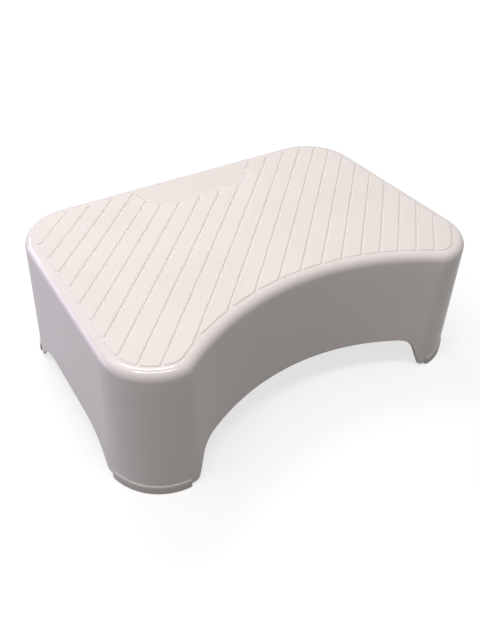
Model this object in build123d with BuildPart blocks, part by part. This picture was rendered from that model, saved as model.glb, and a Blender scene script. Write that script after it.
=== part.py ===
from build123d import *
import os
from math import atan2, degrees, radians, sqrt, tan

# Footrest: one moulded stool shell with a concave front, a raised diagonal tread and
# four arched sides, standing on four soft corner feet. Millimetres, +Z up, the concave
# front faces -Y, and the origin is on the floor under the middle of the shell.

# Overall form. The plan sizes are those of the sharp outline in the plane of the top,
# before its rim is rounded. The walls flare outwards from there down to the floor.
height = 150.0
top_width = 410.0
top_depth = 278.5
draft_angle = 3.45
back_corner_radius = 56.0
front_corner_radius = 52.0
horn_tip_radius = 16.5
bay_depth = 46.5
rim_radius = 9.0

# Moulded walls, underside ribs and the webs that close the corners into legs
wall = 3.0
plate = 3.0
rib = 2.0
rib_depth = 14.0
rib_pitch = 40.0
corner_web = 2.5
web_setback = 4.0

# Legs, measured in from the sharp top outline to where their edges would meet the floor
front_leg_width = 59.0
front_leg_depth = 46.25
back_leg_width = 55.0
back_leg_depth = 49.75
leg_corner_radius = 5.0

# Arches between the legs: one form in front, and a swept one at the back and sides
front_arch_crown = 39.0
front_arch_radius = 18.0
front_arch_slant = 21.0
swept_arch_crown = 31.5
swept_arch_radius = 55.0
swept_arch_slant = 13.6

# Tread: diagonal pads standing proud of the top, and a bare panel let in from the back
tread_rise = 0.8
tread_margin = 11.0
tread_angle = 45.0
tread_pitch = 18.25
tread_groove = 2.4
tread_shift = 10.9
least_pad = 6.0
panel_length = 140.0
panel_depth = 52.75
panel_corner_radius = 30.0
panel_shift = 1.0

# Soft feet, pushed up over the corners of the legs
foot_height = 10.0
foot_sole = 3.0
foot_proud = 1.4
foot_end_gap = 8.5
foot_lip = 2.5
foot_clearance = 0.15
foot_bevel = 0.8
foot_end_radius = 2.5

# One overrun serves every cut
overrun = 5.0

half_width = top_width / 2
half_depth = top_depth / 2
plate_top = height - tread_rise
plate_bottom = plate_top - plate

# The bevel under the rim leaves the wall as thick there as a rounded inside would
bevel_share = 2 - sqrt(2)
inner_bevel = bevel_share * (rim_radius - wall)

# Where the arches' edges would meet the floor, out from the middle of the stool
front_arch_end = half_width - front_leg_width
back_arch_end = half_width - back_leg_width
side_arch_front = half_depth - front_leg_depth
side_arch_back = half_depth - back_leg_depth

# Where the soft foot of each kind of corner ends in plan, on the right-hand side
corners = {
    "front": (front_arch_end + foot_end_gap, -side_arch_front - foot_end_gap),
    "back": (back_arch_end + foot_end_gap, side_arch_back + foot_end_gap),
}


def flare(z):
    """How far the outside of the wall stands beyond the sharp top outline at height z."""
    return (plate_top - z) * tan(radians(draft_angle))


def outline(z, inset):
    """The stool's plan at height z, drawn inset inside the sharp top outline.

    The corner, horn tip and bay arcs keep their centres and only their radii change,
    so outlines with different insets stay parallel.
    """
    corner_x = half_width - back_corner_radius
    horn_x = half_width - front_corner_radius
    bay_swing = (horn_x**2 + bay_depth**2) / (2 * bay_depth)
    tip_turn = degrees(atan2(horn_x, bay_swing - bay_depth))
    with BuildSketch(Plane.XY.offset(z)) as plan:
        with BuildLine():
            back = Line((0, half_depth - inset), (-corner_x, half_depth - inset))
            corner = JernArc(back @ 1, back % 1, back_corner_radius - inset, 90)
            side = Line(corner @ 1, (inset - half_width, front_corner_radius - half_depth))
            horn = JernArc(side @ 1, side % 1, front_corner_radius - inset, 90)
            tip = JernArc(horn @ 1, horn % 1, horn_tip_radius - inset, tip_turn)
            TangentArc(tip @ 1, (0, bay_depth + inset - half_depth), tangent=tip % 1)
            mirror(about=Plane.YZ)
        make_face()
    return plan.sketch


def arch(plane, start, end, crown, radius, slant):
    """An arch opening on an upright plane, from start to end along the floor.

    Its edges lean inwards by the slant and turn into the crown on the given radius. Under
    the legs the opening spreads, so that the corner of each leg is rounded off.
    """
    lean = crown * tan(radians(slant))
    with BuildSketch(plane) as opening:
        with BuildLine():
            Polyline(
                (start - lean, -crown),
                (start + lean, crown),
                (end - lean, crown),
                (end + lean, -crown),
                close=True,
            )
        make_face()
        fillet(opening.vertices().group_by(Axis.Y)[-1], radius=radius)
        with Locations(((start + end) / 2, foot_sole)):
            Rectangle(end - start + 4 * leg_corner_radius, crown, align=(Align.CENTER, Align.MAX))
        level = opening.vertices().filter_by_position(Axis.Y, foot_sole / 2, 2 * foot_sole)
        fillet(level.sort_by(Axis.X)[1:-1], radius=leg_corner_radius)
    return opening.sketch


def drafted_block(floor, top, inset, mode=Mode.ADD):
    """Add a block from floor to top whose sides stay inset inside the shell's outer walls."""
    extrude(outline(floor, inset - flare(floor)), amount=top - floor, taper=draft_angle, mode=mode)


def web_place(side, end_x, end_y):
    """Middle of a corner's web in plan, its X along the web and its Y to the stool's middle.

    The web runs parallel to the line between the foot's two ends, set back inside it.
    """
    reach = flare(foot_sole) - wall
    start = Vector(side * end_x, (half_depth + reach) * (1 if end_y > 0 else -1))
    end = Vector(side * (half_width + reach), end_y)
    middle = (start + end) / 2
    inward = Vector(end.Y - start.Y, start.X - end.X).normalized()
    if inward.dot(middle) > 0:
        inward = -inward
    across = Location(Plane(middle, x_dir=inward.rotate(Axis.Z, -90), z_dir=(0, 0, 1)))
    return across * Location((0, web_setback))


def corner_webs(floor, top, thickness, mode=Mode.ADD):
    """Add the four upright webs that close the corners, from floor to top."""
    with BuildSketch(Plane.XY.offset(floor)) as webs:
        for end_x, end_y in corners.values():
            for side in (-1, 1):
                with Locations(web_place(side, end_x, end_y)):
                    Rectangle(2 * front_corner_radius + 2 * wall, thickness)
    extrude(webs.sketch, amount=top - floor, mode=mode)


def soft_foot(end_x, end_y, slot):
    """The left-hand soft foot of a corner, ending at end_x and end_y in plan.

    It is a block cut to the corner, with the slot for the leg's wall and web taken out.
    """
    beyond = Align.MIN if end_y > 0 else Align.MAX
    with BuildPart() as foot:
        with BuildSketch() as plan:
            add(outline(0, -flare(0) - foot_proud))
            with Locations((-end_x, end_y)):
                Rectangle(top_width, top_depth, align=(Align.MAX, beyond), mode=Mode.INTERSECT)
            with Locations(web_place(-1, end_x, end_y) * Location((0, corner_web / 2 + foot_lip))):
                Rectangle(
                    top_width, top_width, align=(Align.CENTER, Align.MIN), mode=Mode.SUBTRACT
                )
            outermost = -1 if end_y > 0 else 0
            facing_x = plan.vertices().group_by(Axis.X)[-1].sort_by(Axis.Y)[outermost]
            facing_y = plan.vertices().group_by(Axis.Y)[-1 - outermost].sort_by(Axis.X)[0]
            fillet([facing_x, facing_y], radius=foot_end_radius)
        extrude(amount=foot_height, taper=draft_angle)
        chamfer(foot.faces().sort_by(Axis.Z)[-1].edges(), length=foot_bevel)
        chamfer(foot.faces().sort_by(Axis.Z)[0].edges(), length=foot_bevel)
        add(slot, mode=Mode.SUBTRACT)
    return foot.part


# Mould core: the hollow under the top, slotted where the ribs and corner webs stand
with BuildPart() as core:
    drafted_block(foot_sole - overrun, plate_bottom, wall)
    chamfer(core.faces().sort_by(Axis.Z)[-1].edges(), length=inner_bevel)
    with BuildSketch(Plane.XY.offset(plate_bottom - rib_depth)):
        with GridLocations(rib_pitch, 0, int(top_width // rib_pitch), 1):
            Rectangle(rib, 2 * top_depth)
        with GridLocations(0, rib_pitch, 1, int(top_depth // rib_pitch)):
            Rectangle(2 * top_width, rib)
    extrude(amount=rib_depth + overrun, mode=Mode.SUBTRACT)
    corner_webs(foot_sole - overrun, plate_top, corner_web, mode=Mode.SUBTRACT)

# Shell: the outer form less its core and its arches, with the tread on top. Slivers that
# would be smaller than the least pad are left out of the tread.
with BuildPart() as shell:
    drafted_block(foot_sole, plate_top, 0)
    fillet(shell.faces().sort_by(Axis.Z)[-1].edges(), radius=rim_radius)
    add(core.part, mode=Mode.SUBTRACT)
    extrude(
        arch(
            Plane.XZ,
            -front_arch_end,
            front_arch_end,
            front_arch_crown,
            front_arch_radius,
            front_arch_slant,
        ),
        amount=top_depth,
        mode=Mode.SUBTRACT,
    )
    extrude(
        arch(
            Plane.XZ,
            -back_arch_end,
            back_arch_end,
            swept_arch_crown,
            swept_arch_radius,
            swept_arch_slant,
        ),
        amount=-top_depth,
        mode=Mode.SUBTRACT,
    )
    extrude(
        arch(
            Plane.YZ,
            -side_arch_front,
            side_arch_back,
            swept_arch_crown,
            swept_arch_radius,
            swept_arch_slant,
        ),
        amount=top_width,
        both=True,
        mode=Mode.SUBTRACT,
    )

    with BuildSketch(Plane.XY.offset(plate_top)) as tread:
        add(outline(0, tread_margin))
        with Locations((panel_shift, half_depth)):
            RectangleRounded(
                panel_length, 2 * panel_depth, panel_corner_radius, mode=Mode.SUBTRACT
            )
        with Locations(Location((0, 0, 0), (0, 0, tread_angle))):
            with Locations((0, tread_shift)):
                with GridLocations(0, tread_pitch, 1, 2 * int(top_width // (2 * tread_pitch)) + 1):
                    Rectangle(2 * top_width, tread_groove, mode=Mode.SUBTRACT)
    pads = [pad for pad in tread.sketch.faces() if pad.area > least_pad**2]
    extrude(pads, amount=tread_rise)

shell.part.label = "shell"
os.makedirs("parts", exist_ok=True)
export_step(shell.part, "parts/shell.step")

# What a leg needs of its foot: a slot that clears the corner's wall and its web
with BuildPart() as leg_slot:
    drafted_block(foot_sole, foot_height + overrun, -foot_clearance)
    drafted_block(
        foot_sole - overrun, foot_height + 2 * overrun, wall + foot_clearance, mode=Mode.SUBTRACT
    )
    corner_webs(foot_sole, foot_height + overrun, corner_web + 2 * foot_clearance)

for place, (end_x, end_y) in corners.items():
    left = soft_foot(end_x, end_y, leg_slot.part)
    for hand, foot in (("left", left), ("right", mirror(left, about=Plane.YZ))):
        foot.label = f"foot_{place}_{hand}"
        export_step(foot, f"parts/{foot.label}.step")
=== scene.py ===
import logging
import math
from collections.abc import Callable
from dataclasses import dataclass, field
from enum import Enum

import bpy
import numpy as np
from mathutils import Matrix, Vector


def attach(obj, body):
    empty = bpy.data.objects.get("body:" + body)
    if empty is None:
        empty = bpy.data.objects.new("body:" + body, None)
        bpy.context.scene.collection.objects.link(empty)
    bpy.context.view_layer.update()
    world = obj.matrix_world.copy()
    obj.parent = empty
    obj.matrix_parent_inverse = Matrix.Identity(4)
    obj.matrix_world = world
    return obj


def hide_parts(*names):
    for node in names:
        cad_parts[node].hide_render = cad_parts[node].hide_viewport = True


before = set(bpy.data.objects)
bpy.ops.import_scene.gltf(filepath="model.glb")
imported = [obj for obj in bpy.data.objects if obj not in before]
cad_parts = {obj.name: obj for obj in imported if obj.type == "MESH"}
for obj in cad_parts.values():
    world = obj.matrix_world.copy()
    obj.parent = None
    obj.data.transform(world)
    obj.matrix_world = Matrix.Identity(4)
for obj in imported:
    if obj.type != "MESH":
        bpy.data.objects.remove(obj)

# Lengths are written in millimetres, as a moulding's drawing has them, and turned into
# metres when a mesh or the camera is made. The lamps and the floor are laid out in metres.
MM = 0.001
PLASTIC_IOR = 1.49

Triple = tuple[float, float, float]
Tree = bpy.types.NodeTree
Socket = bpy.types.NodeSocket

log = logging.getLogger("footrest")


class Side(Enum):
    """The two hands of the stool, seen from above with the concave front nearest."""

    LEFT = -1
    RIGHT = 1


class Corner(Enum):
    """The two kinds of leg."""

    FRONT = "front"
    BACK = "back"


def quarter_turn(count: int) -> np.ndarray:
    """Angles in radians from 0 to a quarter turn, in equal steps."""
    return np.linspace(0.0, np.pi / 2, count)


def unit(vector: np.ndarray) -> np.ndarray:
    """A vector of length 1 along the one given."""
    return vector / np.hypot(*vector)


def at_level(loop: np.ndarray, level: float) -> np.ndarray:
    """The points of a flat loop, put at one height."""
    return np.concatenate([loop, np.full((len(loop), 1), level)], axis=1)


@dataclass
class Skin:
    """One or more closed surfaces: points in millimetres, quads, and many-sided caps."""

    points: np.ndarray
    quads: np.ndarray
    caps: list[np.ndarray]
    marks: dict[str, np.ndarray]

    @staticmethod
    def from_rings(rings: list[np.ndarray] | np.ndarray, **marks: np.ndarray) -> "Skin":
        """Close a stack of rings into a surface that faces outwards.

        Neighbouring rings are joined by quads and the first and last ring are capped. The
        surface is turned round where the volume under its faces comes out negative.

        Args:
            rings: The rings, each of stations by three.
            marks: A value for each ring, by the mark's name.

        Returns:
            The closed surface.
        """
        stack = np.array(rings)
        layers, stations, _ = stack.shape
        here = np.arange(stations)
        after = np.roll(here, -1)
        start = np.arange(layers - 1)[:, None] * stations
        above = start + stations
        quads = np.stack((start + here, start + after, above + after, above + here), axis=-1)
        caps = [here[::-1], here + (layers - 1) * stations]
        spread = {name: np.repeat(values, stations) for name, values in marks.items()}
        skin = Skin(stack.reshape(-1, 3), quads.reshape(-1, 4), caps, spread)
        return skin if skin.volume() > 0 else skin.turned()

    def volume(self) -> float:
        """Signed volume: a sixth of the triple products over a fan of every face.

        Returns:
            The volume, negative where the faces look inwards.
        """
        total = 0.0
        for faces in (self.quads, *[cap[None, :] for cap in self.caps]):
            first = self.points[faces[:, :1]]
            second = self.points[faces[:, 1:-1]]
            third = self.points[faces[:, 2:]]
            total += float(np.sum(first * np.cross(second, third))) / 6
        return total

    def turned(self) -> "Skin":
        """The same surface with every face turned round."""
        return Skin(self.points, self.quads[:, ::-1], [cap[::-1] for cap in self.caps], self.marks)

    def mirrored(self) -> "Skin":
        """The surface reflected in the stool's middle plane, still facing outwards."""
        return Skin(self.points * (-1, 1, 1), self.quads, self.caps, self.marks).turned()

    @staticmethod
    def joined(skins: list["Skin"]) -> "Skin":
        """Put several surfaces into one.

        Args:
            skins: The surfaces, which keep their order. All have the same marks.

        Returns:
            One surface that holds them all.
        """
        offsets = np.cumsum([0] + [len(skin.points) for skin in skins])[:-1]
        placed = list(zip(skins, offsets))
        names = skins[0].marks
        return Skin(
            np.concatenate([skin.points for skin in skins]),
            np.concatenate([skin.quads + base for skin, base in placed]),
            [cap + base for skin, base in placed for cap in skin.caps],
            {name: np.concatenate([skin.marks[name] for skin in skins]) for name in names},
        )

    def to_object(self, name: str) -> bpy.types.Object:
        """Make the Blender object, its quads shaded smooth and its caps flat.

        Args:
            name: The name of the piece.

        Returns:
            The object, linked to the scene.
        """
        mesh = bpy.data.meshes.new(name)
        sizes = np.concatenate([np.full(len(self.quads), 4), [len(cap) for cap in self.caps]])
        corners = np.concatenate([self.quads.ravel(), *self.caps]).astype(np.int32)
        mesh.vertices.add(len(self.points))
        mesh.vertices.foreach_set("co", (self.points * MM).astype(np.float32).ravel())
        mesh.loops.add(len(corners))
        mesh.loops.foreach_set("vertex_index", corners)
        mesh.polygons.add(len(sizes))
        starts = np.concatenate([[0], np.cumsum(sizes)[:-1]]).astype(np.int32)
        mesh.polygons.foreach_set("loop_start", starts)
        mesh.update(calc_edges=True)
        mesh.polygons.foreach_set("use_smooth", np.arange(len(sizes)) < len(self.quads))
        for mark, values in self.marks.items():
            layer = mesh.attributes.new(mark, "FLOAT", "POINT")
            layer.data.foreach_set("value", values.astype(np.float32))
        piece = bpy.data.objects.new(name, mesh)
        bpy.context.scene.collection.objects.link(piece)
        return piece


@dataclass
class Plan:
    """The stool's outline in plan at the top, sharp-rimmed, and what is offset from it."""

    height: float = 150.0
    tread_rise: float = 0.8
    width: float = 410.0
    depth: float = 278.5
    draft: float = math.radians(3.45)
    back_corner: float = 56.0
    front_corner: float = 52.0
    horn_tip: float = 16.5
    bay: float = 46.5
    wall: float = 3.0
    rim: float = 9.0
    sole: float = 3.0
    front_leg: tuple[float, float] = (59.0, 46.25)
    back_leg: tuple[float, float] = (55.0, 49.75)

    def __post_init__(self) -> None:
        """Lay the outline out as discs carried along lines and turned through angles.

        Each piece has a disc's centre that goes from one place to another, its radius, and
        the direction of the point on its rim, which turns from one angle to another. A
        straight side moves the centre, and a round corner turns the direction. The bay is
        the one piece whose outside is on the disc's own side.
        """
        self.top = self.height - self.tread_rise
        half_width, half_depth = self.width / 2, self.depth / 2
        back_x, back_y = half_width - self.back_corner, half_depth - self.back_corner
        horn_x, horn_y = half_width - self.front_corner, self.front_corner - half_depth
        swing = (horn_x**2 + self.bay**2) / (2 * self.bay)
        turn = math.atan2(horn_x, swing - self.bay)
        bay_radius = swing - self.horn_tip
        tip_y = self.horn_tip - half_depth
        bay_y = self.bay - half_depth - bay_radius
        quarter = math.pi / 2
        left = np.array([
            (0, back_y, -back_x, back_y, self.back_corner, quarter, quarter, 1),
            (-back_x, back_y, -back_x, back_y, self.back_corner, quarter, 2 * quarter, 1),
            (-back_x, back_y, -back_x, horn_y, self.back_corner, 2 * quarter, 2 * quarter, 1),
            (-horn_x, horn_y, -horn_x, horn_y, self.front_corner, 2 * quarter, 3 * quarter, 1),
            (-horn_x, tip_y, -horn_x, tip_y, self.horn_tip, 3 * quarter, 3 * quarter + turn, 1),
            (0, bay_y, 0, bay_y, bay_radius, quarter + turn, quarter, -1),
        ])
        right = left[::-1].copy()
        right[:, [0, 1, 2, 3]] = left[::-1][:, [2, 3, 0, 1]] * (-1, 1, -1, 1)
        right[:, [5, 6]] = math.pi - left[::-1][:, [6, 5]]
        self.pieces = np.concatenate([left, right])
        runs = np.hypot(*(self.pieces[:, 2:4] - self.pieces[:, 0:2]).T)
        turns = self.pieces[:, 4] * np.abs(self.pieces[:, 6] - self.pieces[:, 5])
        self.ends = np.concatenate([[0.0], np.cumsum(runs + turns)])

    @property
    def length(self) -> float:
        """The way once round the outline."""
        return float(self.ends[-1])

    def at(self, way: np.ndarray) -> tuple[np.ndarray, np.ndarray]:
        """Points and outward normals of the outline at distances along it.

        Args:
            way: Distances from the middle of the back, going left and round the front.

        Returns:
            The points and the unit normals, each of stations by two.
        """
        index = np.clip(np.searchsorted(self.ends, way, side="right") - 1, 0, len(self.pieces) - 1)
        share = (way - self.ends[index]) / np.diff(self.ends)[index]
        piece = self.pieces[index]
        centre = piece[:, 0:2] + (piece[:, 2:4] - piece[:, 0:2]) * share[:, None]
        angle = piece[:, 5] + (piece[:, 6] - piece[:, 5]) * share
        direction = np.stack([np.cos(angle), np.sin(angle)], axis=1)
        return centre + direction * piece[:, 4:5], direction * piece[:, 7:8]

    def flare(self, level: np.ndarray | float) -> np.ndarray | float:
        """How far the drafted wall stands outside the outline: its fall times the slope."""
        return (self.top - level) * math.tan(self.draft)

    def offset(self, way: np.ndarray, outset: np.ndarray | float) -> np.ndarray:
        """Points at a distance outside the outline: each point moved along its own normal."""
        points, normals = self.at(way)
        return points + normals * np.broadcast_to(outset, way.shape)[:, None]

    def inside(self, level: np.ndarray | float) -> np.ndarray:
        """How far the inside of the wall stands outside the outline, at heights.

        Below the rim it is the flare less the wall. Above, it follows the rim's inner
        circle, which touches the underside of the top and the inside of the wall.

        Args:
            level: Heights.

        Returns:
            The outsets, negative where the inside is within the outline.
        """
        radius = self.rim - self.wall
        rise = np.clip(np.asarray(level) - (self.top - self.rim), 0.0, radius)
        centre = radius * math.tan(self.draft) - radius / math.cos(self.draft) - self.wall
        on_circle = centre + np.sqrt(radius**2 - rise**2)
        on_wall = self.flare(level) - self.wall
        return np.where(rise > radius * math.sin(self.draft), on_circle, on_wall)

    def stretch(self, first: int, last: int, outset: float, count: int = 1200) -> np.ndarray:
        """Points of the offset outline from the start of one piece to the end of another."""
        return self.offset(np.linspace(self.ends[first], self.ends[last + 1], count), outset)

    def arch_end(self, corner: Corner) -> tuple[float, float]:
        """Where the arches beside a kind of leg would meet the floor, out from the middle."""
        width, depth = self.front_leg if corner is Corner.FRONT else self.back_leg
        return self.width / 2 - width, self.depth / 2 - depth


def loop_area(loop: np.ndarray) -> float:
    """Signed area of a loop: half the sum of the cross products of neighbouring points."""
    ahead = np.roll(loop, -1, axis=0)
    return float(np.sum(loop[:, 0] * ahead[:, 1] - loop[:, 1] * ahead[:, 0])) / 2


def loop_inward(loop: np.ndarray) -> np.ndarray:
    """Unit normals that point into a loop.

    At each point it is the mean direction of the two neighbouring sides, turned a quarter
    towards the inside.

    Args:
        loop: The loop's points, of points by two.

    Returns:
        The normals, of points by two.
    """
    ahead = np.roll(loop, -1, axis=0) - loop
    ahead = ahead / np.maximum(np.hypot(*ahead.T), 1e-6)[:, None]
    mean = ahead + np.roll(ahead, 1, axis=0)
    mean = mean / np.maximum(np.hypot(*mean.T), 1e-6)[:, None]
    return np.stack([-mean[:, 1], mean[:, 0]], axis=1) * np.sign(loop_area(loop))


def turned_axes(turn: float) -> tuple[np.ndarray, np.ndarray]:
    """Unit directions along and across lines that stand at an angle to X."""
    return np.array([math.cos(turn), math.sin(turn)]), np.array([-math.sin(turn), math.cos(turn)])


def split_across(loop: np.ndarray, turn: float) -> list[np.ndarray]:
    """Cut a closed loop into two halves that each run once across a set of lines.

    Args:
        loop: The loop's points, of points by two.
        turn: The angle of the lines.

    Returns:
        The half with the smaller and the half with the larger values along the lines, each
        of points by two, across then along, sorted by how far across.
    """
    along, across = turned_axes(turn)
    flat = np.stack([loop @ across, loop @ along], axis=1)
    flat = np.roll(flat, -int(np.argmin(flat[:, 0])), axis=0)
    far = int(np.argmax(flat[:, 0]))
    halves = [flat[: far + 1], np.concatenate([flat[far:], flat[:1]])[::-1]]
    halves.sort(key=lambda half: float(np.mean(half[:, 1])))
    return [half[np.argsort(half[:, 0], kind="stable")] for half in halves]


@dataclass
class Arch:
    """An arch cut through a wall: leaning edges, a rounded crown and rounded leg corners."""

    start: float
    end: float
    crown: float
    radius: float
    slant: float
    sole: float
    leg_corner: float = 5.0

    def edge(self, place: np.ndarray) -> np.ndarray:
        """Height of the arch's edge above each place along the floor.

        Measured inwards from the nearer edge, the height is that of the sole up to where
        the leg's corner begins, then the corner's arc, the leaning line or the crown's own
        arc if that comes first, the crown's arc, and the crown.

        Args:
            place: Coordinates along the wall.

        Returns:
            Heights above the floor.
        """
        inside = np.minimum(place - self.start, self.end - place)
        lean = math.radians(self.slant)
        crown_z = self.crown - self.radius
        crown_a = (self.radius + crown_z * math.sin(lean)) / math.cos(lean)
        line_end = crown_a - self.radius * math.cos(lean)
        corner_z = self.sole + self.leg_corner
        straight = crown_z + self.radius * math.sin(lean) > corner_z
        if straight:
            corner_a = (corner_z * math.sin(lean) - self.leg_corner) / math.cos(lean)
            corner_end = corner_a + self.leg_corner * math.cos(lean)
        else:
            reach = self.radius + self.leg_corner
            corner_a = crown_a - math.sqrt(reach**2 - (corner_z - crown_z) ** 2)
            corner_end = crown_a + (corner_a - crown_a) * self.radius / reach
            line_end = -np.inf
        round_corner = self.leg_corner**2 - np.clip(inside - corner_a, 0, self.leg_corner) ** 2
        round_crown = self.radius**2 - np.clip(crown_a - inside, 0, self.radius) ** 2
        return np.select(
            [inside <= corner_a, inside <= corner_end, inside <= line_end],
            [self.sole, corner_z - np.sqrt(round_corner), inside / math.tan(lean)],
            default=crown_z + np.sqrt(round_crown),
        )


@dataclass
class ShellBody:
    """The moulded shell: rim, flared walls with their arches, and the inside.

    Each form of arch is its crown, its radius and its slant in degrees.
    """

    plan: Plan
    front_form: Triple = (39.0, 18.0, 21.0)
    swept_form: Triple = (31.5, 55.0, 13.6)
    side_share: float = 0.45
    edge_round: float = 0.8
    steepest: float = 4.0
    spacing: float = 1.0
    calm_level: float = 50.0
    inner_levels: tuple[float, float] = (90.0, 130.0)
    top_rings: Triple = (3.0, 1.6, 1.0)
    grained_rings: int = 2
    rim_rings: int = 12
    upper_rings: int = 6
    outer_rings: int = 7
    inner_rings: int = 5
    samples: int = 20001

    def __post_init__(self) -> None:
        """Place the four arches between the legs."""
        front_x, front_y = self.plan.arch_end(Corner.FRONT)
        back_x, back_y = self.plan.arch_end(Corner.BACK)
        self.front_arch = Arch(-front_x, front_x, *self.front_form, self.plan.sole)
        self.back_arch = Arch(-back_x, back_x, *self.swept_form, self.plan.sole)
        self.side_arch = Arch(-front_y, back_y, *self.swept_form, self.plan.sole)

    def lower_edge(self, points: np.ndarray) -> np.ndarray:
        """Height of the wall's lower edge over points in plan.

        Args:
            points: Points of the wall in plan, of points by two.

        Returns:
            The height of whichever arch the point lies in, or of the leg's end.
        """
        across, deep = points[:, 0], points[:, 1]
        faces_side = np.abs(across) > self.side_share * self.plan.width
        ends = np.where(deep < 0, self.front_arch.edge(across), self.back_arch.edge(across))
        return np.where(faces_side, self.side_arch.edge(deep), ends)

    def stations(self) -> np.ndarray:
        """Places along the outline, evenly spread along the wall's lower edge.

        The lower edge climbs round each arch, so its length is added up from short steps of
        the outline together with its rise, and equal shares of that length are taken.

        Returns:
            Distances along the outline.
        """
        way = np.linspace(0.0, self.plan.length, self.samples)
        rise = np.abs(np.diff(self.lower_edge(self.plan.offset(way, self.plan.flare(0.0)))))
        run = np.concatenate([[0.0], np.cumsum(np.hypot(np.diff(way), rise))])
        count = int(run[-1] / self.spacing)
        return np.interp(np.arange(count) * run[-1] / count, run, way)

    def build(self) -> bpy.types.Object:
        """Carry the wall's section round the outline.

        At each station the section starts on the top, turns over the rim on a circle that
        touches the top and the drafted wall, falls down the wall to the lower edge there,
        rounds both corners of the wall's cut end, and climbs the inside to the underside of
        the top. Every point is the outline's point moved along its normal by an outset that
        the section gives for its height.

        Returns:
            The shell's object.
        """
        plan, way, calm = self.plan, self.stations(), self.calm_level
        points, normals = plan.at(way)
        rim_angles = np.linspace(np.pi / 2, plan.draft, self.rim_rings)

        def ring(outset: np.ndarray | float, level: np.ndarray | float) -> np.ndarray:
            """One ring of the section, from its outset and its height at each station."""
            outset, level = np.broadcast_to(outset, way.shape), np.broadcast_to(level, way.shape)
            return np.concatenate([points + normals * outset[:, None], level[:, None]], axis=1)

        def rim(radius: float, top: float, inset: float) -> list[np.ndarray]:
            """Rings over a rim circle, from the flat top to the drafted wall.

            Args:
                radius: The circle's radius.
                top: Height of the flat face that it touches.
                inset: How far within the wall's outside it touches the wall.

            Returns:
                The rings, from the highest.
            """
            centre = radius * math.tan(plan.draft) - radius / math.cos(plan.draft) - inset
            turn = zip(radius * np.cos(rim_angles), radius * np.sin(rim_angles))
            return [ring(centre + out, top - radius + up) for out, up in turn]

        def face(depth: float, inward: int, shares: np.ndarray) -> list[np.ndarray]:
            """Rings down one face of the wall and round the corner of its cut end.

            Where the lower edge climbs, the rounding is made as much taller as it is steep.

            Args:
                depth: How far within the wall's outside the face lies.
                inward: 1 where the corner turns inwards, -1 where it turns outwards.
                shares: Places of the rings between the calm level and the rounding.

            Returns:
                The rings, from the highest.
            """
            low = self.lower_edge(plan.offset(way, plan.flare(plan.sole) - depth))
            steep = np.minimum(np.gradient(low, way) ** 2, self.steepest**2)
            tall = self.edge_round * np.sqrt(1 + steep)
            levels = [calm + (low + tall - calm) * share for share in shares]
            insets = [depth] * len(levels)
            for angle in quarter_turn(5)[1:]:
                levels.append(low + tall * (1 - math.sin(angle)))
                insets.append(depth + inward * self.edge_round * (1 - math.cos(angle)))
            return [ring(plan.flare(z) - inset, z) for z, inset in zip(levels, insets)]

        rings = [ring(-plan.rim - flat, plan.top) for flat in self.top_rings]
        rings += rim(plan.rim, plan.top, 0.0)
        upper = np.linspace(plan.top - plan.rim, calm, self.upper_rings)
        rings += [ring(plan.flare(z), z) for z in upper[1:]]
        rings += face(0.0, 1, np.linspace(0.0, 1.0, self.outer_rings)[1:])
        outer = len(rings)
        rings += face(plan.wall, -1, np.linspace(0.0, 1.0, self.inner_rings))[::-1]
        rings += [ring(plan.flare(z) - plan.wall, z) for z in self.inner_levels]
        rings += rim(plan.rim - plan.wall, plan.top - plan.wall, plan.wall)[::-1]
        order = np.arange(len(rings))
        skin = Skin.from_rings(rings, grained=order < self.grained_rings, inside=order >= outer)
        return skin.to_object("shell_body")


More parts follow.
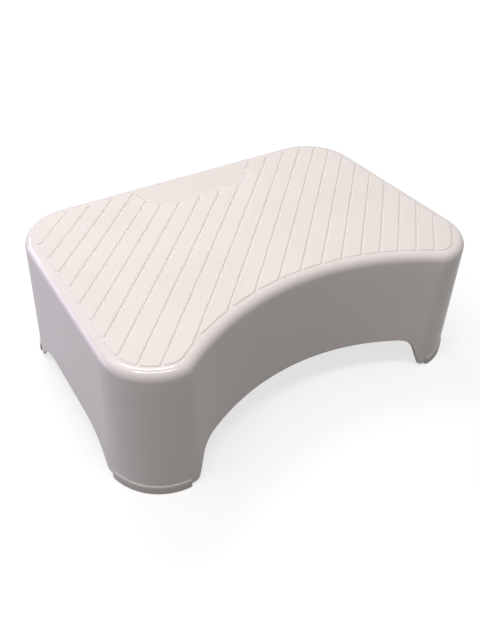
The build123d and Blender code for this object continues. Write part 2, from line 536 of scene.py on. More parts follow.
@dataclass
class Tread:
    """The raised diagonal pads, cut off by the rim's margin and round the bare panel."""

    plan: Plan
    margin: float = 11.0
    angle: float = math.radians(45.0)
    pitch: float = 18.25
    groove: float = 2.4
    shift: float = 10.9
    corner: float = 1.4
    spread: float = 0.95
    edge: float = 0.45
    flat: float = 0.4
    buried: float = 0.4
    least: float = 6.0
    panel_length: float = 140.0
    panel_depth: float = 52.75
    panel_corner: float = 30.0
    panel_shift: float = 1.0
    panel_samples: int = 1441
    outline_step: float = 0.25
    core_samples: int = 241
    corner_points: int = 9
    middle_points: int = 12
    bite_points: int = 25
    side_rings: int = 9

    def panel_halves(self, grown: float) -> list[np.ndarray]:
        """The two halves of the bare panel's outline, which runs out over the back.

        It is a rectangle with round corners: a disc that is carried to each of the four
        corners' centres and turned through a quarter there.

        Args:
            grown: How much larger the panel is taken on every side.

        Returns:
            The near and the far half along the pads, each across then along.
        """
        angle = np.linspace(0.0, 2 * np.pi, self.panel_samples)[:-1]
        reach = np.array([self.panel_length / 2, self.panel_depth]) - self.panel_corner
        turn = np.stack([np.cos(angle), np.sin(angle)], axis=1)
        centre = np.array([self.panel_shift, self.plan.depth / 2]) + np.sign(turn) * reach
        return split_across(centre + turn * (self.panel_corner + grown), self.angle)

    def opened(self, place: np.ndarray, low: np.ndarray, high: np.ndarray) -> np.ndarray:
        """Grow a pad's core by the corner radius into a loop with round corners.

        The core lies between two lines over places across the pad. A disc of the corner's
        radius runs over it: at each place the loop's lower side is the least, over the
        core's places within a radius, of the core's lower line less the disc's height
        there, and its upper side is the greatest of the upper line and that height.

        Args:
            place: Places across the core.
            low: The core's lower line there.
            high: The core's upper line there.

        Returns:
            The loop, across then along.
        """
        turn = self.corner * np.cos(quarter_turn(self.corner_points))
        middle = np.linspace(place[0], place[-1], self.middle_points)[1:-1]
        out = np.concatenate([place[0] - turn, middle, (place[-1] + turn)[::-1]])
        gap = np.abs(out[:, None] - place[None, :])
        reach = np.sqrt(np.clip(self.corner**2 - gap**2, 0.0, None))
        near = gap <= self.corner + 1e-6
        lower = np.where(near, low[None, :] - reach, np.inf).min(axis=1)
        upper = np.where(near, high[None, :] + reach, -np.inf).max(axis=1)
        return np.concatenate([np.stack([out, lower], 1), np.stack([out, upper], 1)[::-1]])

    def bitten(self, loop: np.ndarray, stop: float) -> np.ndarray:
        """Let the panel's edge into the upper side of a loop.

        Args:
            loop: The loop, whose lower side comes first.
            stop: How far across its upper side stands.

        Returns:
            The loop with the panel's arc between its two sides.
        """
        near, far = self.panel_halves(0.0)
        share = np.sqrt(np.sin(quarter_turn(self.bite_points)))
        place = stop - (stop - near[0, 0]) * share
        half = len(loop) // 2
        down = np.stack([place, np.interp(place, *near.T)], axis=1)
        back = np.stack([place, np.interp(place, *far.T)], axis=1)[::-1][1:]
        return np.concatenate([loop[:half], down, back, loop[half:]])

    def pads(self) -> list[np.ndarray]:
        """Loops of all the pads in plan.

        A pad's core lies between two grooves, the margin's outline and the panel, each
        moved in by the corner radius. Where the panel crosses a pad it leaves a pad in
        front and perhaps one behind. Where it only bites into the upper side of a pad, the
        panel's own edge is let into that side of the loop.

        Returns:
            One loop for each pad, each of points by two: across, then along.
        """
        way = np.arange(0.0, self.plan.length, self.outline_step)
        near, far = split_across(self.plan.offset(way, -self.margin - self.corner), self.angle)
        panel_near, panel_far = self.panel_halves(self.corner)
        count = int(self.plan.width // (2 * self.pitch)) + 2
        loops = []
        for step in range(-count, count):
            start = self.shift + step * self.pitch + self.groove / 2
            stop = start + self.pitch - self.groove
            place = np.linspace(start + self.corner, stop - self.corner, self.core_samples)
            place = place[(place > near[0, 0]) & (place < near[-1, 0])]
            if len(place) < 2:
                continue
            low, high = np.interp(place, *near.T), np.interp(place, *far.T)
            begin = np.interp(place, *panel_near.T, left=np.inf, right=np.inf)
            finish = np.interp(place, *panel_far.T, left=-np.inf, right=-np.inf)
            hit = (begin < high) & (finish > low)
            behind = hit & (finish < high)
            if behind.any() and not hit.all():
                loops.append(self.bitten(self.opened(place, low, high), stop))
                continue
            in_front = np.where(hit, np.minimum(high, begin), high)
            for keep, lower, upper in ((True, low, in_front), (behind, finish, high)):
                keep = keep & (upper > lower)
                if keep.sum() > 1:
                    loops.append(self.opened(place[keep], lower[keep], upper[keep]))
        return [loop for loop in loops if abs(loop_area(loop)) > self.least**2]

    def build(self) -> bpy.types.Object:
        """Raise every pad from its loop.

        A pad's side is an S-shaped slope from a little outside the loop to a little inside
        it: over the share t of that way it has risen by the smooth step 3t^2 - 2t^3. For
        each ring the loop is moved along its own normals. The first ring is sunk into the
        top, and one more lies flat within the face, so that its shading stays flat. The
        mark says how far below the face each ring lies, as a share of the rise; the
        material paints shade on the pads' sides by it, darker the lower the ring.

        Returns:
            The object that holds all the pads.
        """
        along, across = turned_axes(self.angle)
        share = np.linspace(0.0, 1.0, self.side_rings)
        risen = (3 - 2 * share) * share**2
        insets = share * (self.spread + self.edge) - self.spread
        insets = [-self.spread, *insets, self.edge + self.flat]
        levels = self.plan.top + self.plan.tread_rise * risen
        levels = [self.plan.top - self.buried, *levels, self.plan.height]
        # How far below the face each ring lies: the material paints shade on the pads' sides by
        # this mark.
        sunk = np.array([1.0, *(1 - risen), 0.0])
        skins = []
        for flat in self.pads():
            loop = flat[:, :1] * across + flat[:, 1:] * along
            inward = loop_inward(loop)
            rings = [at_level(loop + inward * inset, z) for inset, z in zip(insets, levels)]
            skins.append(Skin.from_rings(rings, sunk=sunk))
        log.info("tread: %d pads", len(skins))
        return Skin.joined(skins).to_object("tread_pads")


@dataclass
class Underside:
    """The ribs under the top and the webs that close the corners into legs.

    The steps are heights of rings, measured from the underside of the top.
    """

    plan: Plan
    rib: float = 2.0
    rib_depth: float = 14.0
    rib_pitch: float = 40.0
    rib_steps: tuple[float, ...] = (-10.0, -6.0, -3.5, -1.5, 0.0, 0.5)
    web: float = 2.5
    web_setback: float = 4.0
    web_steps: tuple[float, ...] = (-4.5, -3.0, -1.5, 0.0, 0.5)
    web_rise: float = 4.0
    web_rings: int = 10
    sunk: float = 1.5
    tip: float = 0.5
    tip_rings: int = 4
    face_points: int = 9

    def plate(self, one: np.ndarray, two: np.ndarray, levels: np.ndarray, thick: float) -> Skin:
        """An upright plate whose lowest edge is rounded.

        Each ring goes round the plate at one height: out along one face and back along the
        other, half the thickness to either side of the line between the plate's two ends.

        Args:
            one: One end of the plate at each height, of heights by two.
            two: The other end at each height.
            levels: The heights, from the lowest.
            thick: The plate's thickness.

        Returns:
            The plate.
        """
        ahead = two - one
        ahead = ahead / np.hypot(*ahead.T)[:, None]
        side = np.stack([-ahead[:, 1], ahead[:, 0]], axis=1)
        drop = np.clip(1 - (levels - levels[0]) / self.tip, 0.0, 1.0)
        half = (thick / 2 - self.tip * (1 - np.sqrt(1 - drop**2)))[:, None]
        share = np.linspace(0.0, 1.0, self.face_points)
        out = one[:, None, :] + (two - one)[:, None, :] * share[None, :, None]
        faces = [out + (side * half)[:, None, :], (out - (side * half)[:, None, :])[:, ::-1]]
        ring = np.concatenate(faces, axis=1)
        height = np.broadcast_to(levels[:, None, None], ring.shape[:2] + (1,))
        return Skin.from_rings(np.concatenate([ring, height], axis=2))

    def tip_levels(self, low: float) -> np.ndarray:
        """Heights of the rings that round a plate's lowest edge."""
        return low + self.tip * (1 - np.cos(quarter_turn(self.tip_rings)))

    def ribs(self) -> bpy.types.Object:
        """Lay out both sets of ribs, each from wall to wall.

        At each height a rib ends a little inside the wall's plastic, where its line meets
        the outline moved to that height's inside. The row that crosses the bay is parted
        there. The right-hand half mirrors the left.

        Returns:
            The object that holds the ribs.
        """
        plan = self.plan
        under = plan.top - plan.wall
        tips = self.tip_levels(under - self.rib_depth)
        levels = np.concatenate([tips, under + np.array(self.rib_steps)])
        outsets = plan.inside(levels) + self.sunk
        backs = [plan.stretch(0, 1, outset)[::-1] for outset in outsets]
        sides = [plan.stretch(1, 3, outset)[::-1] for outset in outsets]
        fronts = [plan.stretch(3, 5, outset) for outset in outsets]
        bays = [plan.stretch(4, 5, outset) for outset in outsets]
        skins = []
        count_x, count_y = int(plan.width // self.rib_pitch), int(plan.depth // self.rib_pitch)
        for step in range(count_x):
            place = (step - (count_x - 1) / 2) * self.rib_pitch
            near, far = (
                np.array([(place, np.interp(-abs(place), *line.T)) for line in lines])
                for lines in (fronts, backs)
            )
            skins.append(self.plate(near, far, levels, self.rib))
        for step in range(count_y):
            place = (step - (count_y - 1) / 2) * self.rib_pitch
            left, inner = (
                np.array([(np.interp(place, line[:, 1], line[:, 0]), place) for line in lines])
                for lines in (sides, bays)
            )
            if place > max(line[-1, 1] for line in bays):
                skins.append(self.plate(left, left * (-1, 1), levels, self.rib))
            else:
                part = self.plate(left, inner, levels, self.rib)
                skins += [part, part.mirrored()]
        log.info("underside: %d ribs", len(skins))
        return Skin.joined(skins).to_object("underside_ribs")

    def webs(self, feet: dict[Corner, tuple[float, float]]) -> bpy.types.Object:
        """Stand the four corner webs between the walls.

        A web runs parallel to the line between its foot's two ends and is set back inside
        it. At each height it ends where its line meets the middle of the drafted wall.

        Args:
            feet: Where each kind of foot ends, out from the middle, in plan.

        Returns:
            The object that holds the webs.
        """
        plan = self.plan
        levels = np.concatenate([
            self.tip_levels(plan.sole),
            np.linspace(plan.sole + self.web_rise, plan.top - plan.rim, self.web_rings),
            plan.top - plan.wall + np.array(self.web_steps),
        ])
        skins = []
        for corner, (end_x, end_y) in feet.items():
            base, inward = web_line(plan, end_x, end_y, self.web_setback)
            first, last = (0, 2) if corner is Corner.BACK else (2, 4)
            ends = []
            for level in levels:
                wall = plan.stretch(first, last, float(plan.inside(level)) + self.sunk)
                beyond = np.flatnonzero((wall - base) @ inward < 0)
                ends.append((wall[beyond[0]], wall[beyond[-1]]))
            skin = self.plate(*np.array(ends).transpose(1, 0, 2), levels, self.web)
            skins += [skin, skin.mirrored()]
        return Skin.joined(skins).to_object("corner_webs")


def web_line(
    plan: Plan, end_x: float, end_y: float, setback: float
) -> tuple[np.ndarray, np.ndarray]:
    """The middle line of the left-hand web of a corner.

    Args:
        plan: The stool's plan.
        end_x: How far out from the middle the foot ends across the stool.
        end_y: Where the foot ends along its depth.
        setback: How far the web stands inside the line between the foot's ends.

    Returns:
        A point on the line and its normal towards the stool's middle.
    """
    reach = float(plan.flare(plan.sole)) - plan.wall
    start = np.array([-end_x, math.copysign(plan.depth / 2 + reach, end_y)])
    end = np.array([-plan.width / 2 - reach, end_y])
    along = unit(end - start)
    inward = np.array([along[1], -along[0]])
    middle = (start + end) / 2
    if inward @ middle > 0:
        inward = -inward
    return middle + inward * setback, inward


@dataclass
class SoftFoot:
    """A soft boot on one corner: sole, outer lip, the block behind the wall, inner lip."""

    plan: Plan
    corner: Corner
    end_x: float
    end_y: float
    height: float = 10.0
    proud: float = 1.4
    clearance: float = 0.15
    snug: float = 0.03
    lip: float = 2.5
    lip_rise: float = 0.9
    lip_round: float = 1.3
    lip_slump: float = 2.2
    web: float = 2.5
    web_setback: float = 4.0
    edge: float = 0.8
    top_round: float = 0.5
    corner_round: float = 0.4
    hidden_round: float = 0.05
    snug_round: float = 0.1
    inner_round: float = 0.6
    end_round: float = 2.5
    sunk: float = 1.5
    bay_reach: float = 3.0
    samples: int = 4001
    curve_points: int = 56
    straight_points: int = 20
    corner_points: int = 7
    lower_rings: int = 5
    upper_rings: int = 9
    rise_shares: tuple[float, float] = (0.3, 0.5)

    def limits(self, trim: float) -> tuple[float, float]:
        """Places of the two end planes, across and deep, both moved in by the trim."""
        return -(self.end_x + trim), self.end_y + math.copysign(trim, self.end_y)

    def curve(self, outset: float, trim: float) -> np.ndarray:
        """The wall's line round the corner between the foot's two end planes.

        Args:
            outset: Distance outside the outline.
            trim: How far both end planes are moved in.

        Returns:
            Points from the end that faces along X to the one that faces along Y.
        """
        plan, at_back = self.plan, self.corner is Corner.BACK
        first, last = (0, 3) if at_back else (5, 2)
        reach = 0.0 if at_back else self.bay_reach
        way = np.linspace(plan.ends[first] + reach, plan.ends[last], self.samples)
        line = plan.offset(way, outset)
        x_limit, y_limit = self.limits(trim)
        beyond_y = (line[:, 1] - y_limit) * math.copysign(1.0, self.end_y)
        if at_back:
            begin = np.interp(-x_limit, -line[:, 0], way)
            finish = np.interp(0.0, -beyond_y, way)
        else:
            begin = way[np.flatnonzero(line[:, 0] <= x_limit)[0]]
            finish = way[np.flatnonzero(beyond_y >= 0)[-1]]
        return plan.offset(np.linspace(begin, finish, self.curve_points), outset)

    def wall_line(self, level: float, outset: float, trim: float) -> np.ndarray:
        """The curve at a distance outside the drafted wall at a height."""
        return self.curve(float(self.plan.flare(level)) + outset, trim)

    def straight(self, inset: float, trim: float) -> np.ndarray:
        """A line parallel to the web between the foot's end planes.

        Args:
            inset: How far inside the web's middle line it runs.
            trim: How far both end planes are moved in.

        Returns:
            Points from the end that faces along X to the one that faces along Y.
        """
        base, inward = web_line(self.plan, self.end_x, self.end_y, self.web_setback)
        base = base + inward * inset
        x_limit, y_limit = self.limits(trim)
        at_x = base[1] - (x_limit - base[0]) * inward[0] / inward[1]
        at_y = base[0] - (y_limit - base[1]) * inward[1] / inward[0]
        ends = np.array([[x_limit, at_x], [at_y, y_limit]])
        share = np.linspace(0.0, 1.0, self.straight_points)[:, None]
        return ends[0] + (ends[1] - ends[0]) * share

    def rounded(self, line: np.ndarray, back: np.ndarray, radii: tuple[float, float]) -> np.ndarray:
        """Close two lines into a loop whose four corners are rounded.

        Each corner gives way to a curve that leaves one side and joins the next at the
        corner's radius from it: the blend, by squares of the share left and the share gone,
        of the first point, the corner and the last point.

        Args:
            line: The outer line.
            back: The inner line, which runs the same way.
            radii: Corner radius of the outer and of the inner line.

        Returns:
            The loop.
        """
        gone = np.linspace(0.0, 1.0, self.corner_points)[1:-1, None]
        left = 1 - gone
        sides = []
        for side, radius in ((line, radii[0]), (back[::-1], radii[1])):
            run = np.concatenate([[0.0], np.cumsum(np.hypot(*np.diff(side, axis=0).T))])
            place = np.linspace(radius, run[-1] - radius, len(side))
            body = np.stack([np.interp(place, run, side[:, k]) for k in (0, 1)], axis=1)
            sides.append((body, side, radius))
        loop = []
        for (body, side, radius), (next_body, next_side, next_radius) in (sides, sides[::-1]):
            step = unit(next_side[0] - side[-1])
            leave, enter = side[-1] + step * radius, next_side[0] - step * next_radius
            first = left**2 * body[-1] + 2 * gone * left * side[-1] + gone**2 * leave
            last = left**2 * enter + 2 * gone * left * next_side[0] + gone**2 * next_body[0]
            loop += [body, first, leave[None], enter[None], last]
        return np.concatenate(loop)

    def block(
        self,
        low: float,
        high: float,
        rounds: tuple[float, float],
        loop_at: Callable[[float, float], np.ndarray],
        slump: float = 1.0,
    ) -> Skin:
        """A block between two heights whose lower and upper edges are rounded.

        Args:
            low: The lower height.
            high: The upper height.
            rounds: Radius of the lower and the upper edge.
            loop_at: A function of height and inset that gives the loop there.
            slump: How many times taller than wide the upper edge's rounding is.

        Returns:
            The block.
        """
        lower, upper = rounds
        sections = [
            (lower * (1 - math.sin(a)), low + lower * (1 - math.cos(a)))
            for a in quarter_turn(self.lower_rings)
        ]
        sections += [(0.0, low + (high - low) * share) for share in self.rise_shares]
        sections += [
            (upper * (1 - math.cos(a)), high - upper * slump * (1 - math.sin(a)))
            for a in quarter_turn(self.upper_rings)
        ]
        rings = [at_level(loop_at(level, inset), level) for inset, level in sections]
        return Skin.from_rings(rings)

    def build(self, side: Side) -> bpy.types.Object:
        """Make the boot from four blocks that stand on one sole.

        The slots between the blocks hold the leg's wall and its web, which stand in them on
        the sole.

        Args:
            side: The hand of the stool that the foot is on.

        Returns:
            The foot's object.
        """
        plan = self.plan
        half_web = self.web / 2 + self.clearance
        lip_at = self.web / 2 + self.lip
        ends = (self.end_round, self.inner_round)
        thin = (self.corner_round, self.snug_round)
        small = (self.corner_round, self.corner_round)

        def full(level: float, inset: float) -> np.ndarray:
            """The whole foot's loop."""
            line = self.wall_line(level, self.proud - inset, inset)
            return self.rounded(line, self.straight(lip_at - inset, inset), ends)

        def outer_lip(level: float, inset: float) -> np.ndarray:
            """The strip outside the wall."""
            line = self.wall_line(level, self.proud - inset, inset)
            return self.rounded(line, self.wall_line(level, self.snug, inset), thin)

        def behind(level: float, inset: float) -> np.ndarray:
            """The block between the wall and the web."""
            line = self.wall_line(level, -plan.wall - self.clearance - inset, inset)
            return self.rounded(line, self.straight(-half_web - inset, inset), small)

        def inner_lip(level: float, inset: float) -> np.ndarray:
            """The strip inside the web."""
            line = self.straight(half_web + inset, inset)
            return self.rounded(line, self.straight(lip_at - inset, inset), small)

        low, hidden = plan.sole - self.sunk, self.hidden_round
        lip_top = self.height + self.lip_rise
        skin = Skin.joined([
            self.block(0.0, plan.sole, (self.edge, hidden), full),
            self.block(low, lip_top, (hidden, self.lip_round), outer_lip, self.lip_slump),
            self.block(low, self.height, (hidden, self.top_round), behind),
            self.block(low, self.height, (hidden, self.top_round), inner_lip),
        ])
        if side is Side.RIGHT:
            skin = skin.mirrored()
        return skin.to_object(f"soft_foot_{self.corner.value}_{side.name.lower()}")


@dataclass(frozen=True)
class Grain:
    """A fine moulded grain: how coarse, how deep, and how much it speckles the colour."""

    pitch: float
    depth: float
    speckle: float


@dataclass(frozen=True)
class Wear:
    """Handling marks: how wide they are, how much they dull the gloss, how much they tint."""

    patch: float
    dulling: float
    tint: float


@dataclass(frozen=True)
class Finish:
    """One surface finish of the stool, its colour as shown, of 0 to 255."""

    name: str
    shown: tuple[int, int, int]
    roughness: float
    specular: float
    grain: Grain
    wear: Wear

    def light(self) -> np.ndarray:
        """The light that the shown colour stands for, by the display's own curve."""
        values = np.array(self.shown) / 255
        return np.where(values <= 0.04045, values / 12.92, ((values + 0.055) / 1.055) ** 2.4)


GRAINED = Wear(55.0, 0.08, 0.025)
PAD_GRAIN = Grain(0.9, 0.05, 0.16)
GLOSS = Finish(
    "glossy moulded shell", (239, 230, 227), 0.05, 0.5,
    Grain(6.0, 0.003, 0.012), Wear(70.0, 0.02, 0.01),
)
GROUND = Finish(
    "grained ground of the tread", (235, 226, 222), 0.55, 0.4, Grain(0.9, 0.05, 0.14), GRAINED,
)
MATTE = Finish("grained tread pads", (239, 231, 227), 0.6, 0.2, PAD_GRAIN, GRAINED)
# Painted shade: the pads' lower sides are coloured darker than the pads, standing in for the shade
# in the grooves between them.
PAINTED_GROOVE_SHADE = Finish(
    "lower sides of the tread pads", (232, 223, 218), 0.6, 0.2, PAD_GRAIN, GRAINED,
)
INSIDE = Finish(
    "plain moulded inside", (232, 225, 222), 0.38, 0.4,
    Grain(2.5, 0.01, 0.03), Wear(80.0, 0.05, 0.01),
)
RUBBER = Finish(
    "soft foot rubber", (227, 218, 212), 0.5, 0.4,
    Grain(0.7, 0.02, 0.05), Wear(25.0, 0.1, 0.05),
)


def add_node(
    tree: Tree, kind: str, inputs: dict[str | int, object], **settings: object
) -> bpy.types.Node:
    """Add a shader node.

    Args:
        tree: The tree to add it to.
        kind: The node's type.
        inputs: Values or sockets for its inputs, by their name or place.
        settings: The node's own properties, which are set first.

    Returns:
        The node.
    """
    node = tree.nodes.new(kind)
    for key, value in settings.items():
        setattr(node, key, value)
    for key, value in inputs.items():
        if isinstance(value, Socket):
            tree.links.new(value, node.inputs[key])
        else:
            node.inputs[key].default_value = value
    return node


def maths(tree: Tree, operation: str, *values: float | Socket) -> Socket:
    """The output of a new Math node."""
    return add_node(tree, "ShaderNodeMath", dict(enumerate(values)), operation=operation).outputs[0]


def between(tree: Tree, one: Socket, two: Socket, share: Socket) -> Socket:
    """A value that goes from one to the other with a share of 0 to 1."""
    gap = maths(tree, "SUBTRACT", two, one)
    return maths(tree, "ADD", one, maths(tree, "MULTIPLY", gap, share))


def noise(tree: Tree, vector: Socket, scale: float | Socket, detail: float) -> Socket:
    """The value of a new Noise Texture node."""
    inputs = {"Vector": vector, "Scale": scale, "Detail": detail}
    return add_node(tree, "ShaderNodeTexNoise", inputs).outputs["Fac"]


def ramp(tree: Tree, value: Socket, low: float, high: float, least: float = 0.0) -> Socket:
    """A value that grows from the least to 1 while another grows from low to high."""
    inputs = {"Value": value, "From Min": low, "From Max": high, "To Min": least}
    return add_node(tree, "ShaderNodeMapRange", inputs).outputs["Result"]


def object_place(tree: Tree) -> Socket:
    """The object's own coordinates."""
    return add_node(tree, "ShaderNodeTexCoord", {}).outputs["Object"]


@dataclass
class Shop:
    """Builds the shared shader groups once and makes the materials from them."""

    patch_range: tuple[float, float] = (0.42, 0.68)
    scuff_range: tuple[float, float] = (0.62, 0.74)
    scuff_turn: Triple = (0.3, 0.5, 0.7)
    scuff_scale: Triple = (60.0, 900.0, 400.0)
    coarse_share: float = 0.6
    pit_softness: float = 0.6

    def __post_init__(self) -> None:
        """Build the two groups that every finish uses."""
        self.grain = self.grain_group()
        self.wear = self.wear_group()

    @staticmethod
    def group(name: str, inputs: dict[str, float], outputs: list[str]) -> Tree:
        """Start a shader group with number inputs and outputs.

        Args:
            name: The group's name.
            inputs: Input names with their defaults.
            outputs: Output names.

        Returns:
            The empty group.
        """
        tree = bpy.data.node_groups.new(name, "ShaderNodeTree")
        for key, value in inputs.items():
            socket = tree.interface.new_socket(key, in_out="INPUT", socket_type="NodeSocketFloat")
            socket.default_value = value
        for key in outputs:
            tree.interface.new_socket(key, in_out="OUTPUT", socket_type="NodeSocketFloat")
        return tree

    def grain_group(self) -> Tree:
        """The moulded grain: fine noise and small round pits.

        Returns:
            The group, which gives a height and a speckle about 0.
        """
        tree = self.group("moulded grain", {"Pitch": 1.0, "Soft": 0.5}, ["Height", "Speckle"])
        start = tree.nodes.new("NodeGroupInput").outputs
        place = object_place(tree)
        scale = maths(tree, "DIVIDE", 1 / MM, start["Pitch"])
        pits = add_node(
            tree, "ShaderNodeTexVoronoi",
            {"Vector": place, "Scale": scale, "Smoothness": start["Soft"]}, feature="SMOOTH_F1",
        )
        coarse = noise(tree, place, maths(tree, "MULTIPLY", scale, self.coarse_share), 3.0)
        fine = noise(tree, place, scale, 2.0)
        add_node(tree, "NodeGroupOutput", {
            "Height": maths(tree, "ADD", fine, pits.outputs["Distance"]),
            "Speckle": maths(tree, "SUBTRACT", coarse, 0.5),
        })
        return tree

    def wear_group(self) -> Tree:
        """Handling marks: broad soft patches crossed by fine scuffs.

        Returns:
            The group, which gives a mask of the patches and one of the scuffs.
        """
        tree = self.group("handling marks", {"Patch": 60.0}, ["Mask", "Scuff"])
        start = tree.nodes.new("NodeGroupInput").outputs
        place = object_place(tree)
        broad = noise(tree, place, maths(tree, "DIVIDE", 1 / MM, start["Patch"]), 3.0)
        patches = ramp(tree, broad, *self.patch_range)
        stretch = add_node(tree, "ShaderNodeMapping", {
            "Vector": place, "Rotation": self.scuff_turn, "Scale": self.scuff_scale,
        })
        fine = noise(tree, stretch.outputs["Vector"], 1.0, 2.0)
        lines = ramp(tree, fine, *self.scuff_range)
        scuffs = maths(tree, "MULTIPLY", lines, patches)
        add_node(tree, "NodeGroupOutput", {"Mask": patches, "Scuff": scuffs})
        return tree

    def make(self, finish: Finish, marked: dict[str, Finish] | None = None) -> bpy.types.Material:
        """Make a material, with other finishes where the piece is marked for them.

        Args:
            finish: The main finish.
            marked: The other finishes, by the name of the mark that each one follows.

        Returns:
            The material.
        """
        material = bpy.data.materials.new(finish.name)
        material.use_nodes = True
        tree = material.node_tree
        shader = tree.nodes["Principled BSDF"]
        shader.inputs["IOR"].default_value = PLASTIC_IOR
        shader.inputs["Specular IOR Level"].default_value = finish.specular
        patch = {"Patch": finish.wear.patch}
        wear = add_node(tree, "ShaderNodeGroup", patch, node_tree=self.wear)
        colour, rough, height = self.surface(tree, finish, wear)
        for name, other in (marked or {}).items():
            mark = add_node(tree, "ShaderNodeAttribute", {}, attribute_name=name)
            share = mark.outputs["Fac"]
            tint, dull, relief = self.surface(tree, other, wear)
            mix = {"Factor": share, "A": colour, "B": tint}
            colour = add_node(tree, "ShaderNodeMix", mix, data_type="RGBA").outputs["Result"]
            rough = between(tree, rough, dull, share)
            height = between(tree, height, relief, share)
        bump = add_node(tree, "ShaderNodeBump", {"Distance": MM, "Strength": 1.0, "Height": height})
        tree.links.new(colour, shader.inputs["Base Color"])
        tree.links.new(rough, shader.inputs["Roughness"])
        tree.links.new(bump.outputs["Normal"], shader.inputs["Normal"])
        return material

    def surface(
        self, tree: Tree, finish: Finish, wear: bpy.types.Node
    ) -> tuple[Socket, Socket, Socket]:
        """Colour, roughness and height of one finish.

        The colour is the finish's own, lightened and darkened by the speckle and slightly
        darkened where it is handled. The roughness rises with the marks and the scuffs. The
        height, in millimetres, is the grain's.

        Args:
            tree: The material's tree.
            finish: The finish.
            wear: The placed group of handling marks.

        Returns:
            The colour, roughness and height sockets.
        """
        sizes = {"Pitch": finish.grain.pitch, "Soft": self.pit_softness}
        grain = add_node(tree, "ShaderNodeGroup", sizes, node_tree=self.grain).outputs
        mask, scuff = wear.outputs["Mask"], wear.outputs["Scuff"]
        tone = maths(tree, "MULTIPLY", grain["Speckle"], finish.grain.speckle)
        tone = maths(tree, "ADD", tone, maths(tree, "MULTIPLY", mask, -finish.wear.tint))
        tone = maths(tree, "ADD", tone, 1.0)
        shade = add_node(tree, "ShaderNodeCombineColor", {
            place: maths(tree, "MULTIPLY", tone, float(value))
            for place, value in enumerate(finish.light())
        })
        dulled = maths(tree, "MULTIPLY", mask, finish.wear.dulling)
        dulled = maths(tree, "ADD", dulled, maths(tree, "MULTIPLY", scuff, 2 * finish.wear.dulling))
        rough = maths(tree, "ADD", dulled, finish.roughness)
        height = maths(tree, "MULTIPLY", grain["Height"], finish.grain.depth)
        return shade.outputs["Color"], rough, height


@dataclass
class Footrest:
    """The whole stool: its shell, tread, underside and four soft feet."""

    plan: Plan = field(default_factory=Plan)
    foot_end_gap: float = 8.5

    def foot_ends(self) -> dict[Corner, tuple[float, float]]:
        """Where the feet end in plan, a gap outside the ends of the arches.

        Returns:
            For each kind of leg, how far out from the middle, and where along the depth.
        """
        front_x, front_y = self.plan.arch_end(Corner.FRONT)
        back_x, back_y = self.plan.arch_end(Corner.BACK)
        gap = self.foot_end_gap
        return {
            Corner.FRONT: (front_x + gap, -front_y - gap),
            Corner.BACK: (back_x + gap, back_y + gap),
        }

    def settle(self, piece: bpy.types.Object, material: bpy.types.Material) -> None:
        """Dress a piece, let it ride on the stool and report it.

        Args:
            piece: The piece.
            material: Its material.
        """
        piece.data.materials.append(material)
        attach(piece, "root")
        box = np.array(piece.bound_box)
        size = np.round((box.max(axis=0) - box.min(axis=0)) / MM, 1)
        log.info("%s: %d faces, %s mm", piece.name, len(piece.data.polygons), size)

    def build(self) -> None:
        """Build every piece, in the order in which the stool is made."""
        shop = Shop()
        gloss = shop.make(GLOSS, {"grained": GROUND, "inside": INSIDE})
        # The pads' lower sides take a darker colour by the sunk mark: painted shade in the grooves.
        matte = shop.make(MATTE, {"sunk": PAINTED_GROOVE_SHADE})
        inside, rubber = shop.make(INSIDE), shop.make(RUBBER)
        body = ShellBody(self.plan).build()
        self.settle(body, gloss)
        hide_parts("shell")
        self.settle(Tread(self.plan).build(), matte)
        under = Underside(self.plan)
        self.settle(under.ribs(), inside)
        self.settle(under.webs(self.foot_ends()), inside)
        for corner, (end_x, end_y) in self.foot_ends().items():
            for side in Side:
                foot = SoftFoot(self.plan, corner, end_x, end_y).build(side)
                self.settle(foot, rubber)
                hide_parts(f"foot_{corner.value}_{side.name.lower()}")


@dataclass(frozen=True)
class Lamp:
    """A soft rectangular lamp: place and sides in metres, power in watts, turn in degrees."""

    name: str
    place: Triple
    size: tuple[float, float]
    power: float
    colour: Triple
    turn: float = 0.0
    aim: Triple = (0.0, 0.0, 0.12)

    def hang(self) -> None:
        """Hang the lamp so that it points at the stool.

        Its long side lies level, turned from X in plan, and is then made square to the
        beam: the beam, its cross product with the long side, and the cross product of those
        two are the lamp's axes.
        """
        data = bpy.data.lights.new(self.name, "AREA")
        data.shape = "RECTANGLE"
        data.size, data.size_y = self.size
        data.energy = self.power
        data.color = self.colour
        back = (Vector(self.place) - Vector(self.aim)).normalized()
        turn = math.radians(self.turn)
        upright = back.cross(Vector((math.cos(turn), math.sin(turn), 0.0))).normalized()
        axes = Matrix((upright.cross(back), upright, back)).transposed()
        lamp = bpy.data.objects.new(self.name, data)
        lamp.matrix_world = Matrix.Translation(self.place) @ axes.to_4x4()
        bpy.context.scene.collection.objects.link(lamp)


WARM, BLUE = (1.0, 0.985, 0.97), (0.65, 0.61, 1.0)
LAMPS = (
    Lamp("far strip", (0.04, 0.715, 1.55), (0.62, 0.28), 6.7, WARM),
    Lamp("near strip", (-0.23, -0.22, 1.55), (0.98, 0.22), 8.5, WARM, -27.9),
    Lamp("high left softbox", (-0.8, 0.35, 1.45), (0.9, 0.9), 3.5, WARM),
    Lamp("left window", (-1.2, 0.85, 0.3), (1.2, 0.58), 5.3, BLUE),
    Lamp("back window", (-0.65, 1.4, 0.72), (0.6, 0.25), 2.2, WARM),
)


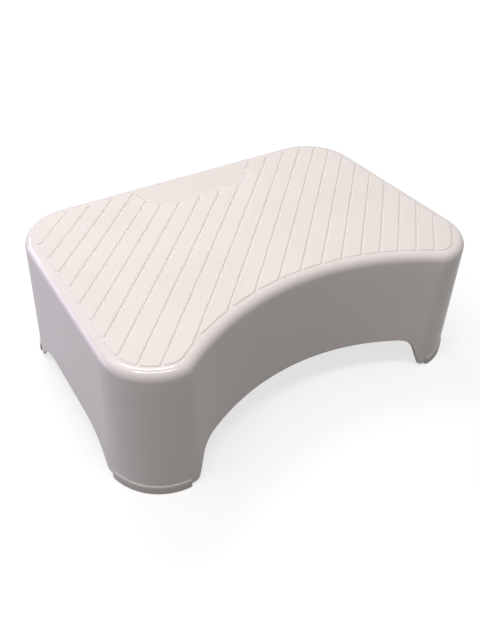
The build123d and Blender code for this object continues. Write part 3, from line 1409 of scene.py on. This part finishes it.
@dataclass
class Studio:
    """The pale floor, the air and the camera, whose angles are in degrees."""

    azimuth: float = -34.79
    elevation: float = 41.73
    roll: float = 2.73
    distance: float = 638.1
    lens: float = 34.2
    sensor: float = 36.0
    target: Triple = (-35.84, -43.5, 74.8)
    ambient: float = 0.25
    glossy_share: float = 0.45
    floor_reach: float = 6.0
    floor_seen: Triple = (0.35, 0.35, 0.35)
    floor_unseen: Triple = (0.265, 0.262, 0.25)
    glow_reach: tuple[float, float] = (0.3, 1.2)
    glow_least: float = 0.72

    def camera(self) -> None:
        """Stand the camera at the photograph's place, turned by its azimuth, height and roll."""
        turn, rise, roll = (math.radians(v) for v in (self.azimuth, self.elevation, self.roll))
        level, up_share = math.cos(rise), math.sin(rise)
        back = Vector((math.sin(turn) * level, -math.cos(turn) * level, up_share))
        right = Vector((math.cos(turn), math.sin(turn), 0.0))
        up = back.cross(right)
        across = right * math.cos(roll) + up * math.sin(roll)
        upright = up * math.cos(roll) - right * math.sin(roll)
        data = bpy.data.cameras.new("camera")
        data.lens = self.lens
        data.sensor_width = self.sensor
        camera = bpy.data.objects.new("camera", data)
        place = (Vector(self.target) + back * self.distance) * MM
        axes = Matrix((across, upright, back)).transposed()
        camera.matrix_world = Matrix.Translation(place) @ axes.to_4x4()
        bpy.context.scene.collection.objects.link(camera)
        bpy.context.scene.camera = camera

    def sees(self, tree: Tree) -> Socket:
        """One for rays from the camera or through glass, and the glossy share for gloss.

        Args:
            tree: The tree that asks.

        Returns:
            The share of the white backdrop that the ray sees.
        """
        path = add_node(tree, "ShaderNodeLightPath", {}).outputs
        gloss = maths(tree, "MULTIPLY", path["Is Glossy Ray"], self.glossy_share)
        either = maths(tree, "MAXIMUM", path["Is Camera Ray"], gloss)
        return maths(tree, "MAXIMUM", either, path["Is Transmission Ray"])

    def floor(self) -> None:
        """Lay the floor, which looks white and throws little light back up.

        Its own glow grows from near the stool outwards to full white, so that only the
        stool's shadow shows on it.
        """
        mesh = bpy.data.meshes.new("floor")
        square = ((-1, -1), (1, -1), (1, 1), (-1, 1))
        corners = [(x * self.floor_reach, y * self.floor_reach, 0.0) for x, y in square]
        mesh.from_pydata(corners, [], [(0, 1, 2, 3)])
        floor = bpy.data.objects.new("floor", mesh)
        bpy.context.scene.collection.objects.link(floor)
        material = bpy.data.materials.new("pale floor")
        material.use_nodes = True
        tree = material.node_tree
        tree.nodes.remove(tree.nodes["Principled BSDF"])
        far = add_node(tree, "ShaderNodeVectorMath", {0: object_place(tree)}, operation="LENGTH")
        strength = ramp(tree, far.outputs["Value"], *self.glow_reach, self.glow_least)
        glow = add_node(tree, "ShaderNodeEmission", {"Strength": strength})
        seen, unseen = (
            add_node(tree, "ShaderNodeBsdfDiffuse", {"Color": (*colour, 1.0)})
            for colour in (self.floor_seen, self.floor_unseen)
        )
        both = add_node(tree, "ShaderNodeAddShader", {0: seen.outputs[0], 1: glow.outputs[0]})
        mix = {0: self.sees(tree), 1: unseen.outputs[0], 2: both.outputs[0]}
        mixed = add_node(tree, "ShaderNodeMixShader", mix)
        tree.links.new(mixed.outputs[0], tree.nodes["Material Output"].inputs["Surface"])
        mesh.materials.append(material)

    def world(self) -> None:
        """Fill the air with even light and show it white behind the stool."""
        world = bpy.data.worlds.new("studio air")
        bpy.context.scene.world = world
        world.use_nodes = True
        tree = world.node_tree
        base = tree.nodes["Background"]
        base.inputs["Color"].default_value = (1.0, 1.0, 1.0, 1.0)
        gap = maths(tree, "MULTIPLY", self.sees(tree), 1.0 - self.ambient)
        tree.links.new(maths(tree, "ADD", gap, self.ambient), base.inputs["Strength"])

    def build(self) -> None:
        """Set up the floor, the light and the camera."""
        self.floor()
        self.world()
        for lamp in LAMPS:
            lamp.hang()
        self.camera()
        bpy.context.scene.view_settings.view_transform = "Standard"


def main() -> None:
    """Build the stool and its studio; each piece's faces and size are logged as it is made."""
    logging.basicConfig(level=logging.INFO, format="%(name)s: %(message)s")
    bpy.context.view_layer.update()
    Footrest().build()
    Studio().build()


if __name__ == "__main__":
    main()
